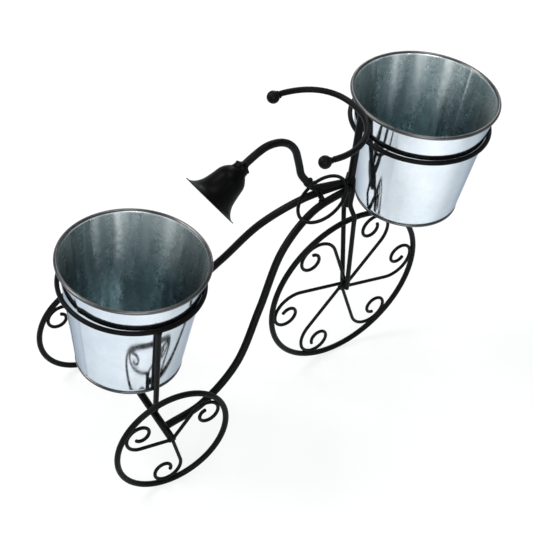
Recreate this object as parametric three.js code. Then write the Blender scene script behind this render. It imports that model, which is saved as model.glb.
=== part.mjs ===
// Tricycle plant stand: a welded wire frame on three wire wheels, carrying two tapered sheet-metal
// pots in rings, with scroll spokes, a handlebar and a bell shade on a gooseneck arm.
// Millimetres. +X is the way the tricycle faces, +Y its left, +Z up. The origin lies on the floor,
// midway between the two pot axes.
import * as THREE from 'three';

// Driving sizes: the layout
const POT_SPACING = 315.9;
const REAR_AXLE_AHEAD_OF_POT = 3.5;
const WELD_GAP = 0.3;

// Driving sizes: the pots
const POT_RIM_DIAMETER = 150;
const POT_BEAD_DIAMETER = 3.6;
const POT_BASE_DIAMETER = 105;
const POT_HEIGHT = 127.3;
const POT_WALL = 0.8;
const POT_CRIMP_DIAMETER = 3;
const POT_FLOOR_RECESS = 4;
const REAR_POT_ABOVE_AXLE = 30.15;
const FRONT_POT_ABOVE_WHEEL = 7;
const REAR_RING_DEPTH = 28.1;
const FRONT_RING_DEPTH = 31.6;
const RING_ROD = 4.2;
const RING_SLACK = 0.9;

// Driving sizes: the wheels
const FRONT_WHEEL_DIAMETER = 193.1;
const REAR_WHEEL_DIAMETER = 124.7;
const RIM_ROD = 5.4;
const SCROLL_ROD = 3;
const REAR_TRACK = 182.4;
const FRONT_HUB_AHEAD_OF_POST = 14.8;
const FRONT_WHEEL_YAW = THREE.MathUtils.degToRad(4.2);

// Driving sizes: the frame
const POST_ROD = 7.2;
const POST_FOOT_ABOVE_WHEEL = 17.7;
const RAIL_ROD = 7.2;
const AXLE_ROD = 7.2;
const RAIL_ABOVE_POST_FOOT = 25.8;
const RAIL_FRONT_SPREAD = 9.5;
const RAIL_INSIDE_WHEEL = 14.1;
const RAIL_REAR_AHEAD_OF_AXLE = 2.4;
const FORK_ROD = 5;
const FORK_TOP_ABOVE_POST_FOOT = 38;
const FORK_KINK_AHEAD = 5;
const FORK_KINK_DROP = 48.5;
const FORK_KINK_SPREAD = 20;
const FORK_TIP_AHEAD_OF_HUB = 1.4;
const FORK_TIP_BELOW_HUB = 3.2;
const RING_POST_ROD = 5;
const RING_POST_FOOT_AHEAD = 1.5;
const RING_POST_CLEAR_OF_POT = 0.7;
const RING_POST_LEAN_BACK = 7;

// Driving sizes: the handlebar
const BAR_ROD = 5.5;
const BAR_BEND_RADIUS = 55.3;
const BAR_GRIP_LENGTH = 1.6;
const BAR_BALL_DIAMETER = 12;
const BAR_COLLAR_DIAMETER = 7.6;
const BAR_COLLAR_LENGTH = 2.4;
const BAR_YAW = THREE.MathUtils.degToRad(-4.1);
const BAR_PITCH = THREE.MathUtils.degToRad(3.4);
const BAR_TOE_IN = THREE.MathUtils.degToRad(1.6);

// Driving sizes: the oval ring, cross bar and lamp
const SADDLE_RING_ROD = 3;
const SADDLE_RING_LENGTH = 61.6;
const SADDLE_RING_WIDTH = 41.8;
const SADDLE_RING_BEHIND_POST = 40.1;
const SADDLE_RING_RIGHT_OF_POST = 10.9;
const SADDLE_RING_YAW = THREE.MathUtils.degToRad(25.3);
const SADDLE_RING_PITCH = THREE.MathUtils.degToRad(20.3);
const SADDLE_RING_ROLL = THREE.MathUtils.degToRad(9.6);
const CROSS_BAR_ROD = 5;
const CROSS_BAR_NEAR_BEHIND_POST = 38;
const CROSS_BAR_FAR_BEHIND_POST = 34.6;
const CROSS_BAR_FAR_OVERHANG = 9.5;
const STEM_ROD = 5.5;
const STEM_ROOT_ABOVE_RAIL = 7;
const STEM_REACH = 51.3;
const STEM_SIDE_SHIFT = 3.1;
const STEM_RISE = 11.1;
const FERRULE_DIAMETER = 8.6;
const FERRULE_LENGTH = 5;
const FERRULE_LEAN = THREE.MathUtils.degToRad(38);
const ARM_ROD = 7.1;
const ARM_RUN = 81.2;
const ARM_RISE = 64.3;
const ARM_NECK_RISE = 51.7;
const ARM_YAW = THREE.MathUtils.degToRad(6.2);
const BELL_TILT = THREE.MathUtils.degToRad(36.9);
const BELL_MOUTH_DIAMETER = 59.4;
const BELL_LENGTH = 38.8;
const BELL_WALL = 1;
const COLLAR_DIAMETER = 13.6;
const COLLAR_LENGTH = 7.4;
const FLANGE_DIAMETER = 16;
const FLANGE_THICKNESS = 2.2;
const FLANGE_ROUND = 0.7;

// Facets
const LATHE_SIDES = 40;
const BELL_SIDES = 28;
const FRONT_RIM_SIDES = 56;
const REAR_RIM_SIDES = 36;
const RING_SIDES = 40;
const ROD_SIDES = 8;
const THIN_ROD_SIDES = 6;
const BALL_SIDES = 12;
const BALL_STEPS = 5;
const SADDLE_RING_STEPS = 36;
const SEARCH_STEPS = 40;
const SEAT_SAMPLES = 240;
const CURL_STEPS = 22;

// Finishes
const PAINT = { color: 0x1b1b1c, roughness: 0.45, metalness: 0.3 };
const ZINC = { color: 0xb9c4ca, roughness: 0.28, metalness: 0.9 };

const stand = new THREE.Group();

function addPiece(name, geometry, finish, parent = stand) {
  const piece = new THREE.Mesh(geometry, new THREE.MeshStandardMaterial(finish));
  piece.name = name;
  parent.add(piece);
  return piece;
}

// A round rod along a route, with flat ends square to the route.
function rod(route, diameter, steps, sides = ROD_SIDES) {
  const section = new THREE.Shape();
  for (let i = 0; i < sides; i += 1) {
    const angle = (i / sides) * 2 * Math.PI;
    const x = Math.cos(angle) * diameter / 2;
    const y = Math.sin(angle) * diameter / 2;
    if (i === 0) section.moveTo(x, y);
    else section.lineTo(x, y);
  }
  section.closePath();
  return new THREE.ExtrudeGeometry(section, { steps, extrudePath: route, bevelEnabled: false });
}

// A straight rod between two points.
function straightRod(from, to, diameter, sides = ROD_SIDES) {
  return rod(new THREE.LineCurve3(from, to), diameter, 1, sides);
}

// A route through worked-out stations, which it passes at even steps of its own parameter, so
// that tight bends keep short steps.
class StationRoute extends THREE.Curve {
  constructor(stations) {
    super();
    this.stations = stations;
  }

  getPoint(share) {
    const last = this.stations.length - 1;
    const place = Math.min(Math.max(share, 0), 1) * last;
    const index = Math.min(Math.floor(place), last - 1);
    return this.stations[index].clone().lerp(this.stations[index + 1], place - index);
  }

  getUtoTmapping(share) {
    return share;
  }
}

function stationRod(stations, diameter, sides = THIN_ROD_SIDES) {
  return rod(new StationRoute(stations), diameter, stations.length - 1, sides);
}

// A closed profile in (radius, height), turned about the upright axis.
function turned(profile, sides) {
  const points = profile.map(([radius, height]) => new THREE.Vector2(radius, height));
  points.push(points[0].clone());
  const geometry = new THREE.LatheGeometry(points, sides);
  geometry.rotateX(Math.PI / 2);
  return geometry;
}

// A round arc of a profile, as (radius, height) points.
function profileArc(radius, height, bend, fromDegrees, toDegrees, steps) {
  const points = [];
  for (let i = 0; i <= steps; i += 1) {
    const angle = THREE.MathUtils.degToRad(fromDegrees + ((toDegrees - fromDegrees) * i) / steps);
    points.push([radius + bend * Math.cos(angle), height + bend * Math.sin(angle)]);
  }
  return points;
}

// A flat ring of round rod about the upright axis.
function rodRing(radius, diameter, sides, rodSides = ROD_SIDES) {
  return new THREE.TorusGeometry(radius, diameter / 2, rodSides, sides);
}

// An oval ring of round rod, which keeps its thickness all the way round.
function ovalRing() {
  const ring = new THREE.TorusGeometry(1, 0, THIN_ROD_SIDES, SADDLE_RING_STEPS);
  const places = ring.attributes.position;
  const halfLength = SADDLE_RING_LENGTH / 2;
  const halfWidth = SADDLE_RING_WIDTH / 2;
  for (let index = 0; index < places.count; index += 1) {
    const across = Math.floor(index / (SADDLE_RING_STEPS + 1)) / THIN_ROD_SIDES;
    const along = (index % (SADDLE_RING_STEPS + 1)) / SADDLE_RING_STEPS;
    const side = new THREE.Vector2(Math.cos(across * 2 * Math.PI), Math.sin(across * 2 * Math.PI));
    const heading = new THREE.Vector2(Math.cos(along * 2 * Math.PI), Math.sin(along * 2 * Math.PI));
    const outward = new THREE.Vector2(heading.x * halfWidth, heading.y * halfLength).normalize();
    side.multiplyScalar(SADDLE_RING_ROD / 2);
    places.setXYZ(
      index,
      halfLength * heading.x + outward.x * side.x,
      halfWidth * heading.y + outward.y * side.x,
      side.y,
    );
  }
  return ring;
}

// Worked-out places: pots
const AXLE_Z = REAR_WHEEL_DIAMETER / 2;
const REAR_POT_RIM_HEIGHT = AXLE_Z + AXLE_ROD / 2 + REAR_POT_ABOVE_AXLE + POT_HEIGHT;
const FRONT_POT_RIM_HEIGHT = FRONT_WHEEL_DIAMETER + FRONT_POT_ABOVE_WHEEL + POT_HEIGHT;
const REAR_POT_X = -POT_SPACING / 2;
const FRONT_POT_X = POT_SPACING / 2;
const POT_RIM_RADIUS = POT_RIM_DIAMETER / 2;
const POT_TOP_RADIUS = POT_RIM_RADIUS - POT_BEAD_DIAMETER;
const POT_BASE_RADIUS = POT_BASE_DIAMETER / 2;
const POT_TAPER = (POT_TOP_RADIUS - POT_BASE_RADIUS) / POT_HEIGHT;

// Radius of the wall's outside, a distance below the middle of the rim bead.
function potRadius(depth) {
  return POT_TOP_RADIUS - POT_TAPER * depth;
}

// Radius of the middle of a ring that holds the pot at this depth below its rim. The ring is a
// little wide, and sits back by as much, so that the pot touches it in front.
function ringRadius(depth) {
  return potRadius(depth) + WELD_GAP + RING_ROD / 2 + RING_SLACK;
}

const REAR_RING_RADIUS = ringRadius(REAR_RING_DEPTH);
const FRONT_RING_RADIUS = ringRadius(FRONT_RING_DEPTH);
const REAR_RING_Z = REAR_POT_RIM_HEIGHT - REAR_RING_DEPTH;
const FRONT_RING_Z = FRONT_POT_RIM_HEIGHT - FRONT_RING_DEPTH;

// Worked-out places: post, axle and wheels
const POST_TOP_Z = FRONT_POT_RIM_HEIGHT - POT_BEAD_DIAMETER / 2 - WELD_GAP;
const POST_FOOT_Z = FRONT_WHEEL_DIAMETER + POST_FOOT_ABOVE_WHEEL;
const POST_FRONT_REACH = potRadius(FRONT_POT_RIM_HEIGHT - POST_TOP_Z) + WELD_GAP;
const POST_X = FRONT_POT_X - POST_FRONT_REACH - POST_ROD / 2;
const AXLE_X = REAR_POT_X + REAR_AXLE_AHEAD_OF_POT;
const WHEEL_Y = REAR_TRACK / 2;
const AXLE_HALF = WHEEL_Y - SCROLL_ROD / 2 - WELD_GAP;
const HUB_X = POST_X + FRONT_HUB_AHEAD_OF_POST;
const HUB_Z = FRONT_WHEEL_DIAMETER / 2;

// Pots: the arcs of the crimp and the bead, from and to in degrees, with their steps
const CRIMP_ARC = [-90, 60, 3];
const BEAD_ARC = [-150, 120, 5];

function potWall() {
  const crimp = POT_CRIMP_DIAMETER / 2;
  const bead = POT_BEAD_DIAMETER / 2;
  const beadRadius = POT_RIM_RADIUS - bead;
  const base = -POT_HEIGHT;
  return turned([
    [POT_BASE_RADIUS - POT_WALL, base],
    ...profileArc(POT_BASE_RADIUS - crimp / 2, base + crimp, crimp, ...CRIMP_ARC),
    [potRadius(POT_HEIGHT - 2 * POT_CRIMP_DIAMETER), base + 2 * POT_CRIMP_DIAMETER],
    [potRadius(POT_BEAD_DIAMETER), -POT_BEAD_DIAMETER],
    ...profileArc(beadRadius, 0, bead, ...BEAD_ARC),
    [POT_TOP_RADIUS - POT_WALL, bead / 2],
  ], LATHE_SIDES);
}

// The floor is a shallow pressed dish, its flange turned down inside the wall.
function potFloor() {
  const top = POT_FLOOR_RECESS - POT_HEIGHT;
  const outside = POT_BASE_RADIUS - POT_WALL - WELD_GAP;
  const foot = WELD_GAP - POT_HEIGHT;
  return turned([
    [0, top - POT_WALL],
    [outside - POT_WALL, top - POT_WALL],
    [outside - POT_WALL, foot],
    [outside, foot],
    [outside, top],
    [0, top],
  ], LATHE_SIDES);
}

function addPot(name, x, rimHeight) {
  const pot = new THREE.Group();
  pot.position.set(x, 0, rimHeight);
  stand.add(pot);
  addPiece(`${name}_wall`, potWall(), ZINC, pot);
  addPiece(`${name}_floor`, potFloor(), ZINC, pot);
}

addPot('rear_pot', REAR_POT_X, REAR_POT_RIM_HEIGHT);
addPot('front_pot', FRONT_POT_X, FRONT_POT_RIM_HEIGHT);

// Rings that hold the pots by their taper: the rear one is closed, and the front one runs round
// from one side of the post to the other
const rearRing = addPiece('rear_pot_ring', rodRing(REAR_RING_RADIUS, RING_ROD, RING_SIDES), PAINT);
rearRing.position.set(REAR_POT_X - RING_SLACK, 0, REAR_RING_Z);
const ringOutside = FRONT_RING_RADIUS + RING_ROD / 2;
const ringToPost = FRONT_POT_X - RING_SLACK - POST_X - ringOutside;
const ringHalfGap = Math.sqrt(Math.max(
  (POST_ROD / 2 + WELD_GAP) ** 2 - ringToPost ** 2,
  WELD_GAP ** 2,
));
const ringOpening = Math.asin(ringHalfGap / ringOutside);
const ringStations = [];
for (let i = 0; i <= RING_SIDES; i += 1) {
  const angle = THREE.MathUtils.lerp(ringOpening - Math.PI, Math.PI - ringOpening, i / RING_SIDES);
  ringStations.push(new THREE.Vector3(
    FRONT_RING_RADIUS * Math.cos(angle),
    FRONT_RING_RADIUS * Math.sin(angle),
    0,
  ));
}
const frontRing = addPiece('front_pot_ring', stationRod(ringStations, RING_ROD, ROD_SIDES), PAINT);
frontRing.position.set(FRONT_POT_X - RING_SLACK, 0, FRONT_RING_Z);

// Post and rear axle
addPiece('front_post', straightRod(
  new THREE.Vector3(POST_X, 0, POST_FOOT_Z),
  new THREE.Vector3(POST_X, 0, POST_TOP_Z),
  POST_ROD,
  2 * ROD_SIDES,
), PAINT);
addPiece('rear_axle', straightRod(
  new THREE.Vector3(AXLE_X, -AXLE_HALF, AXLE_Z),
  new THREE.Vector3(AXLE_X, AXLE_HALF, AXLE_Z),
  AXLE_ROD,
  2 * ROD_SIDES,
), PAINT);

// Side rails: each runs from the back of the post over the axle, as shares of the way from the
// post end to the axle end: back, out and down.
const RAIL_SHARES = [
  [0, 0, 0],
  [0.022, 0.006, 0.006],
  [0.191, 0.077, 0.059],
  [0.361, 0.238, 0.228],
  [0.494, 0.479, 0.531],
  [0.635, 0.725, 0.821],
  [0.822, 0.888, 0.979],
];
const RAIL_STEPS = 30;
const RAIL_START_X = POST_X - Math.sqrt(
  (POST_ROD / 2 + WELD_GAP) ** 2 - ((RAIL_FRONT_SPREAD - RAIL_ROD) / 2) ** 2,
);
const railEndRise = Math.sqrt((AXLE_ROD / 2 + WELD_GAP) ** 2 - RAIL_REAR_AHEAD_OF_AXLE ** 2);
const RAIL_FRONT_Z = POST_FOOT_Z + RAIL_ABOVE_POST_FOOT;
const RAIL_END = new THREE.Vector3(
  AXLE_X + RAIL_REAR_AHEAD_OF_AXLE,
  WHEEL_Y - RAIL_INSIDE_WHEEL,
  AXLE_Z + railEndRise + RAIL_ROD / 2,
);

function railRoute(side) {
  const start = new THREE.Vector3(RAIL_START_X, RAIL_FRONT_SPREAD / 2, RAIL_FRONT_Z);
  const points = [...RAIL_SHARES, [1, 1, 1]].map(([back, out, down]) => new THREE.Vector3(
    THREE.MathUtils.lerp(start.x, RAIL_END.x, back),
    side * THREE.MathUtils.lerp(start.y, RAIL_END.y, out),
    THREE.MathUtils.lerp(start.z, RAIL_END.z, down),
  ));
  return new THREE.CatmullRomCurve3(points, false, 'centripetal');
}

// The point of a rail's middle line at a given x.
function railPoint(side, x) {
  const route = railRoute(side);
  let low = 0;
  let high = 1;
  for (let i = 0; i < SEARCH_STEPS; i += 1) {
    const middle = (low + high) / 2;
    if (route.getPoint(middle).x > x) low = middle;
    else high = middle;
  }
  return { point: route.getPoint(low), tangent: route.getTangent(low) };
}

addPiece('left_rail', rod(railRoute(1), RAIL_ROD, RAIL_STEPS), PAINT);
addPiece('right_rail', rod(railRoute(-1), RAIL_ROD, RAIL_STEPS), PAINT);

// Uprights that carry the rear ring, leaning out from the axle, past the foot of the pot, to the
// underside of the ring
function ringPostRoute(side) {
  const angle = Math.asin(RING_POST_LEAN_BACK / REAR_RING_RADIUS);
  const head = new THREE.Vector3(
    REAR_POT_X - RING_SLACK - REAR_RING_RADIUS * Math.sin(angle),
    REAR_RING_RADIUS * Math.cos(angle),
    REAR_RING_Z - RING_ROD / 2 - WELD_GAP,
  );
  const foot = new THREE.Vector3(
    AXLE_X + RING_POST_FOOT_AHEAD,
    0,
    AXLE_Z + AXLE_ROD / 2 + WELD_GAP,
  );
  const crimpRadius = POT_BASE_RADIUS + POT_CRIMP_DIAMETER / 4;
  const crimpZ = REAR_POT_RIM_HEIGHT - POT_HEIGHT + POT_CRIMP_DIAMETER / 2;
  const besideCrimp = crimpRadius + RING_POST_CLEAR_OF_POT + RING_POST_ROD / 2;
  foot.y = head.y - ((head.y - besideCrimp) * (head.z - foot.z)) / (head.z - crimpZ);
  const tilt = (RING_POST_ROD / 2)
    * (Math.hypot(head.x - foot.x, head.y - foot.y) / (head.z - foot.z));
  head.z -= tilt;
  foot.z += tilt;
  return [foot, head].map((point) => point.setY(side * point.y));
}

addPiece('left_ring_post', straightRod(...ringPostRoute(1), RING_POST_ROD), PAINT);
addPiece('right_ring_post', straightRod(...ringPostRoute(-1), RING_POST_ROD), PAINT);

// Fork legs: beside the post, kinked out round the wheel, then straight in to the hub. Shares are
// of the way from the leg's top to its kink, and from there to its tip.
const FORK_SHOULDER_SHARES = [0, 0.4, 0.69];
const FORK_LEG_SHARES = [0, 0.07, 0.5, 0.93, 1];
const FORK_STEPS = 16;

function forkRoute(side) {
  const top = new THREE.Vector3(
    POST_X,
    side * ((POST_ROD + FORK_ROD) / 2 + WELD_GAP),
    POST_FOOT_Z + FORK_TOP_ABOVE_POST_FOOT,
  );
  const kink = new THREE.Vector3(
    POST_X + FORK_KINK_AHEAD,
    side * FORK_KINK_SPREAD / 2,
    top.z - FORK_KINK_DROP,
  );
  const tip = new THREE.Vector3(
    HUB_X + FORK_TIP_AHEAD_OF_HUB,
    side * ((SCROLL_ROD + FORK_ROD) / 2 + WELD_GAP),
    HUB_Z - FORK_TIP_BELOW_HUB,
  );
  const shoulder = FORK_SHOULDER_SHARES.map((share) => (
    top.clone().setZ(THREE.MathUtils.lerp(top.z, kink.z, share))
  ));
  const leg = FORK_LEG_SHARES.map((share) => kink.clone().lerp(tip, share));
  return new THREE.CatmullRomCurve3([...shoulder, ...leg], false, 'centripetal');
}

addPiece('left_fork_leg', rod(forkRoute(1), FORK_ROD, FORK_STEPS), PAINT);
addPiece('right_fork_leg', rod(forkRoute(-1), FORK_ROD, FORK_STEPS), PAINT);

// Scrolls: a straight run that starts beside the hub, then a curl whose bend radius falls from
// wide to tight while it turns. Shares are of the straight run; the whole is sized to touch the
// inside of the rim.
const REAR_SCROLL = {
  startShare: 0.045,
  sideShare: 0,
  wideShare: 0.528,
  tightShare: 0.192,
  fallPower: 1.48,
  turn: THREE.MathUtils.degToRad(410.9),
};
const FRONT_SCROLL = {
  startShare: 0.085,
  sideShare: 0.047,
  wideShare: 0.5,
  tightShare: 0.149,
  fallPower: 2.76,
  turn: THREE.MathUtils.degToRad(430.9),
};

// Stations of a scroll in its plane, from the hub out, curling to the left.
function scrollShape(scroll) {
  const place = new THREE.Vector2(1, -scroll.sideShare);
  const stations = [new THREE.Vector2(scroll.startShare, place.y), place.clone()];
  const step = scroll.turn / CURL_STEPS;
  for (let i = 0; i < CURL_STEPS; i += 1) {
    const share = (i + 0.5) / CURL_STEPS;
    const bend = scroll.tightShare
      + (scroll.wideShare - scroll.tightShare) * (1 - share) ** scroll.fallPower;
    const chord = 2 * bend * Math.sin(step / 2);
    const heading = share * scroll.turn;
    place.x += chord * Math.cos(heading);
    place.y += chord * Math.sin(heading);
    stations.push(place.clone());
  }
  return stations;
}

function sizedScroll(scroll, reach) {
  const shape = scrollShape(scroll);
  const farthest = Math.max(...shape.map((station) => station.length()));
  return shape.map((station) => station.clone().multiplyScalar(reach / farthest));
}

// Rear wheels: a rim and three scrolls that meet on the end of the axle
const REAR_RIM_RADIUS = (REAR_WHEEL_DIAMETER - RIM_ROD) / 2;
const REAR_SCROLL_REACH = REAR_RIM_RADIUS - RIM_ROD / 2 - WELD_GAP - SCROLL_ROD / 2;
const RIGHT_SCROLL_ANGLES = [175, 55, -72];
const LEFT_SCROLL_ANGLES = [7, 127, -113];
const FRONT_RIM_RADIUS = (FRONT_WHEEL_DIAMETER - RIM_ROD) / 2;
const FRONT_SCROLL_REACH = FRONT_RIM_RADIUS - RIM_ROD / 2 - WELD_GAP - SCROLL_ROD / 2;
const FRONT_SCROLL_ANGLES = [169.2, 112.6, 49.7, -10.8, -67.4, -130.3];

// Scrolls of one wheel, curling clockwise or the other way when seen from the right.
function addScrolls(name, wheel, shape, curlSide, angles) {
  angles.forEach((degrees, index) => {
    const angle = THREE.MathUtils.degToRad(degrees);
    const stations = shape.map((station) => {
      const flat = new THREE.Vector2(station.x, curlSide * station.y);
      flat.rotateAround(new THREE.Vector2(), angle);
      return new THREE.Vector3(flat.x, 0, flat.y);
    });
    addPiece(`${name}_scroll_${index + 1}`, stationRod(stations, SCROLL_ROD), PAINT, wheel);
  });
}

function addWheel(name, x, y, radius, sides) {
  const wheel = new THREE.Group();
  wheel.position.set(x, y, radius + RIM_ROD / 2);
  stand.add(wheel);
  const rim = rodRing(radius, RIM_ROD, sides);
  rim.rotateX(Math.PI / 2);
  addPiece(`${name}_rim`, rim, PAINT, wheel);
  return wheel;
}

const rearShape = sizedScroll(REAR_SCROLL, REAR_SCROLL_REACH);
const rightWheel = addWheel('right_wheel', AXLE_X, -WHEEL_Y, REAR_RIM_RADIUS, REAR_RIM_SIDES);
addScrolls('right_wheel', rightWheel, rearShape, -1, RIGHT_SCROLL_ANGLES);
const leftWheel = addWheel('left_wheel', AXLE_X, WHEEL_Y, REAR_RIM_RADIUS, REAR_RIM_SIDES);
addScrolls('left_wheel', leftWheel, rearShape, 1, LEFT_SCROLL_ANGLES);

const frontShape = sizedScroll(FRONT_SCROLL, FRONT_SCROLL_REACH);
const frontWheel = addWheel('front_wheel', HUB_X, 0, FRONT_RIM_RADIUS, FRONT_RIM_SIDES);
frontWheel.rotation.z = FRONT_WHEEL_YAW;
addScrolls('front_wheel', frontWheel, frontShape, 1, FRONT_SCROLL_ANGLES);

// Handlebar: a half circle over the top of the post, behind the pot's rim, with short grips
const BAR_BEND_STEPS = 22;
const BAR_END_ANGLE = Math.PI / 2 + BAR_TOE_IN;
const handlebar = new THREE.Group();
handlebar.position.set(
  FRONT_POT_X - POT_RIM_RADIUS - WELD_GAP - BAR_ROD / 2,
  0,
  POST_TOP_Z + WELD_GAP + BAR_ROD / 2,
);
handlebar.rotation.set(0, -BAR_PITCH, BAR_YAW, 'ZYX');
stand.add(handlebar);

function barPoint(angle) {
  return new THREE.Vector3(
    BAR_BEND_RADIUS * (Math.cos(angle) - 1),
    BAR_BEND_RADIUS * Math.sin(angle),
    0,
  );
}

function barGripPoint(side, along) {
  const heading = new THREE.Vector3(-Math.cos(BAR_TOE_IN), -side * Math.sin(BAR_TOE_IN), 0);
  return barPoint(side * BAR_END_ANGLE).addScaledVector(heading, along);
}

const barStations = [barGripPoint(-1, BAR_GRIP_LENGTH)];
for (let i = 0; i <= BAR_BEND_STEPS; i += 1) {
  barStations.push(barPoint(THREE.MathUtils.lerp(-BAR_END_ANGLE, BAR_END_ANGLE, i / BAR_BEND_STEPS)));
}
barStations.push(barGripPoint(1, BAR_GRIP_LENGTH));
addPiece('handlebar', stationRod(barStations, BAR_ROD, ROD_SIDES), PAINT, handlebar);

// End balls, each turned with the small collar that meets the end of the bar
const BALL_RADIUS = BAR_BALL_DIAMETER / 2;
const COLLAR_RADIUS = BAR_COLLAR_DIAMETER / 2;
const BALL_NECK = Math.sqrt(BALL_RADIUS ** 2 - COLLAR_RADIUS ** 2);
const BALL_NECK_ANGLE = Math.asin(-BALL_NECK / BALL_RADIUS);

function gripBall() {
  const neckDegrees = THREE.MathUtils.radToDeg(BALL_NECK_ANGLE);
  return turned([
    [0, -BALL_NECK - BAR_COLLAR_LENGTH],
    [COLLAR_RADIUS, -BALL_NECK - BAR_COLLAR_LENGTH],
    ...profileArc(0, 0, BALL_RADIUS, neckDegrees, 90, BALL_STEPS).slice(0, -1),
    [0, BALL_RADIUS],
  ], BALL_SIDES);
}

function addGripBall(name, side) {
  const ball = addPiece(name, gripBall(), PAINT, handlebar);
  const heading = barGripPoint(side, 1).sub(barGripPoint(side, 0));
  const reach = BAR_GRIP_LENGTH + WELD_GAP + BAR_COLLAR_LENGTH + BALL_NECK;
  ball.position.copy(barGripPoint(side, reach));
  ball.quaternion.setFromUnitVectors(new THREE.Vector3(0, 0, 1), heading);
}

addGripBall('right_grip_ball', -1);
addGripBall('left_grip_ball', 1);

// Cross bar: lies on both rails behind the post
function railSeat(side, behindPost) {
  const { point, tangent } = railPoint(side, POST_X - behindPost);
  const slope = Math.hypot(tangent.x, tangent.y);
  point.z += ((RAIL_ROD + CROSS_BAR_ROD) / 2 + WELD_GAP) / slope;
  return point;
}

const crossNear = railSeat(-1, CROSS_BAR_NEAR_BEHIND_POST);
const crossFar = railSeat(1, CROSS_BAR_FAR_BEHIND_POST);
const crossHeading = crossFar.clone().sub(crossNear).normalize();
const crossEnd = crossFar.clone().addScaledVector(crossHeading, CROSS_BAR_FAR_OVERHANG);
addPiece('cross_bar', straightRod(crossNear, crossEnd, CROSS_BAR_ROD), PAINT);

// Lamp stem: from the back of the post, over the cross bar, then up into the ferrule
const STEM_OVER_SHARE = 0.74;
const STEM_BEND_SHARE = 0.6;
const STEM_BEND_RISE_SHARE = 0.2;
const STEM_STEPS = 16;
const armHeading = new THREE.Vector3(-Math.cos(ARM_YAW), -Math.sin(ARM_YAW), 0);
const stemRoot = new THREE.Vector3(
  POST_X - POST_ROD / 2 - WELD_GAP,
  0,
  RAIL_FRONT_Z + STEM_ROOT_ABOVE_RAIL,
);
const stemStart = stemRoot.clone().setX(stemRoot.x - STEM_ROD / 2);
const stemOver = crossNear.clone().lerp(crossFar, STEM_OVER_SHARE);
stemOver.z += (CROSS_BAR_ROD + STEM_ROD) / 2 + 2 * WELD_GAP;
const ferruleHeading = armHeading.clone().multiplyScalar(Math.sin(FERRULE_LEAN));
ferruleHeading.z = Math.cos(FERRULE_LEAN);
const ferruleTop = new THREE.Vector3(
  POST_X - STEM_REACH,
  STEM_SIDE_SHIFT,
  stemRoot.z + STEM_RISE,
);
const ferruleFoot = ferruleTop.clone().addScaledVector(ferruleHeading, -FERRULE_LENGTH);
const stemBend = new THREE.Vector3(
  THREE.MathUtils.lerp(stemOver.x, ferruleFoot.x, STEM_BEND_SHARE),
  THREE.MathUtils.lerp(stemOver.y, ferruleFoot.y, STEM_BEND_SHARE),
  THREE.MathUtils.lerp(stemOver.z, ferruleFoot.z, STEM_BEND_RISE_SHARE),
);
const stemRoute = new THREE.CatmullRomCurve3([
  stemRoot,
  stemStart,
  stemOver,
  stemBend,
  ferruleFoot,
  ferruleTop,
], false, 'centripetal');
addPiece('lamp_stem', rod(stemRoute, STEM_ROD, STEM_STEPS), PAINT);

const ferruleBore = STEM_ROD / 2 + WELD_GAP;
const ferrule = addPiece('arm_ferrule', turned([
  [ferruleBore, 0],
  [FERRULE_DIAMETER / 2, 0],
  [FERRULE_DIAMETER / 2, FERRULE_LENGTH],
  [ferruleBore, FERRULE_LENGTH],
], 2 * ROD_SIDES), PAINT);
ferrule.position.copy(ferruleFoot);
ferrule.quaternion.setFromUnitVectors(new THREE.Vector3(0, 0, 1), ferruleHeading);

// Lamp arm: a gooseneck in one upright plane, as shares of its run and rise
const ARM_SHARES = [
  [0.108, 0.193],
  [0.155, 0.372],
  [0.2, 0.544],
  [0.254, 0.717],
  [0.353, 0.871],
  [0.478, 0.966],
  [0.599, 1],
  [0.708, 0.994],
  [0.801, 0.953],
];
const ARM_STEPS = 28;
const armFoot = ferruleTop.clone().addScaledVector(ferruleHeading, WELD_GAP);

function armPoint(run, rise) {
  const point = armFoot.clone().addScaledVector(armHeading, run);
  point.z += rise;
  return point;
}

const bellHeading = armHeading.clone().multiplyScalar(Math.cos(BELL_TILT));
bellHeading.z = -Math.sin(BELL_TILT);
const bellNeck = armPoint(ARM_RUN, ARM_NECK_RISE);
const armEnd = bellNeck.clone().addScaledVector(bellHeading, COLLAR_LENGTH - WELD_GAP);
addPiece('lamp_arm', rod(new THREE.CatmullRomCurve3([
  armFoot,
  ...ARM_SHARES.map(([run, rise]) => armPoint(run * ARM_RUN, rise * ARM_RISE)),
  bellNeck.clone().addScaledVector(bellHeading, -COLLAR_LENGTH / 2),
  bellNeck,
  armEnd,
], false, 'centripetal'), ARM_ROD, ARM_STEPS), PAINT);

// Bell: half widths from the mouth to the crown, as shares of the bell's length and mouth radius
const BELL_SHARES = [
  [0, 1],
  [0.023, 0.903],
  [0.072, 0.811],
  [0.121, 0.751],
  [0.168, 0.707],
  [0.263, 0.643],
  [0.361, 0.603],
  [0.552, 0.552],
  [0.742, 0.508],
  [0.84, 0.451],
  [0.935, 0.357],
  [0.982, 0.29],
];
const bell = new THREE.Group();
bell.position.copy(bellNeck).addScaledVector(bellHeading, COLLAR_LENGTH + WELD_GAP + BELL_LENGTH);
bell.quaternion.setFromUnitVectors(new THREE.Vector3(0, 0, 1), bellHeading.clone().negate());
stand.add(bell);
const mouthRadius = BELL_MOUTH_DIAMETER / 2;
const bellOutside = BELL_SHARES.map(([along, width]) => [width * mouthRadius, along * BELL_LENGTH]);
const bellInside = bellOutside
  .map(([radius, height]) => [radius - BELL_WALL, height])
  .filter(([, height]) => height < BELL_LENGTH - 2 * BELL_WALL)
  .reverse();
addPiece('bell_shade', turned([
  ...bellOutside,
  [0, BELL_LENGTH],
  [0, BELL_LENGTH - BELL_WALL],
  ...bellInside,
], BELL_SIDES), PAINT, bell);

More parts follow.
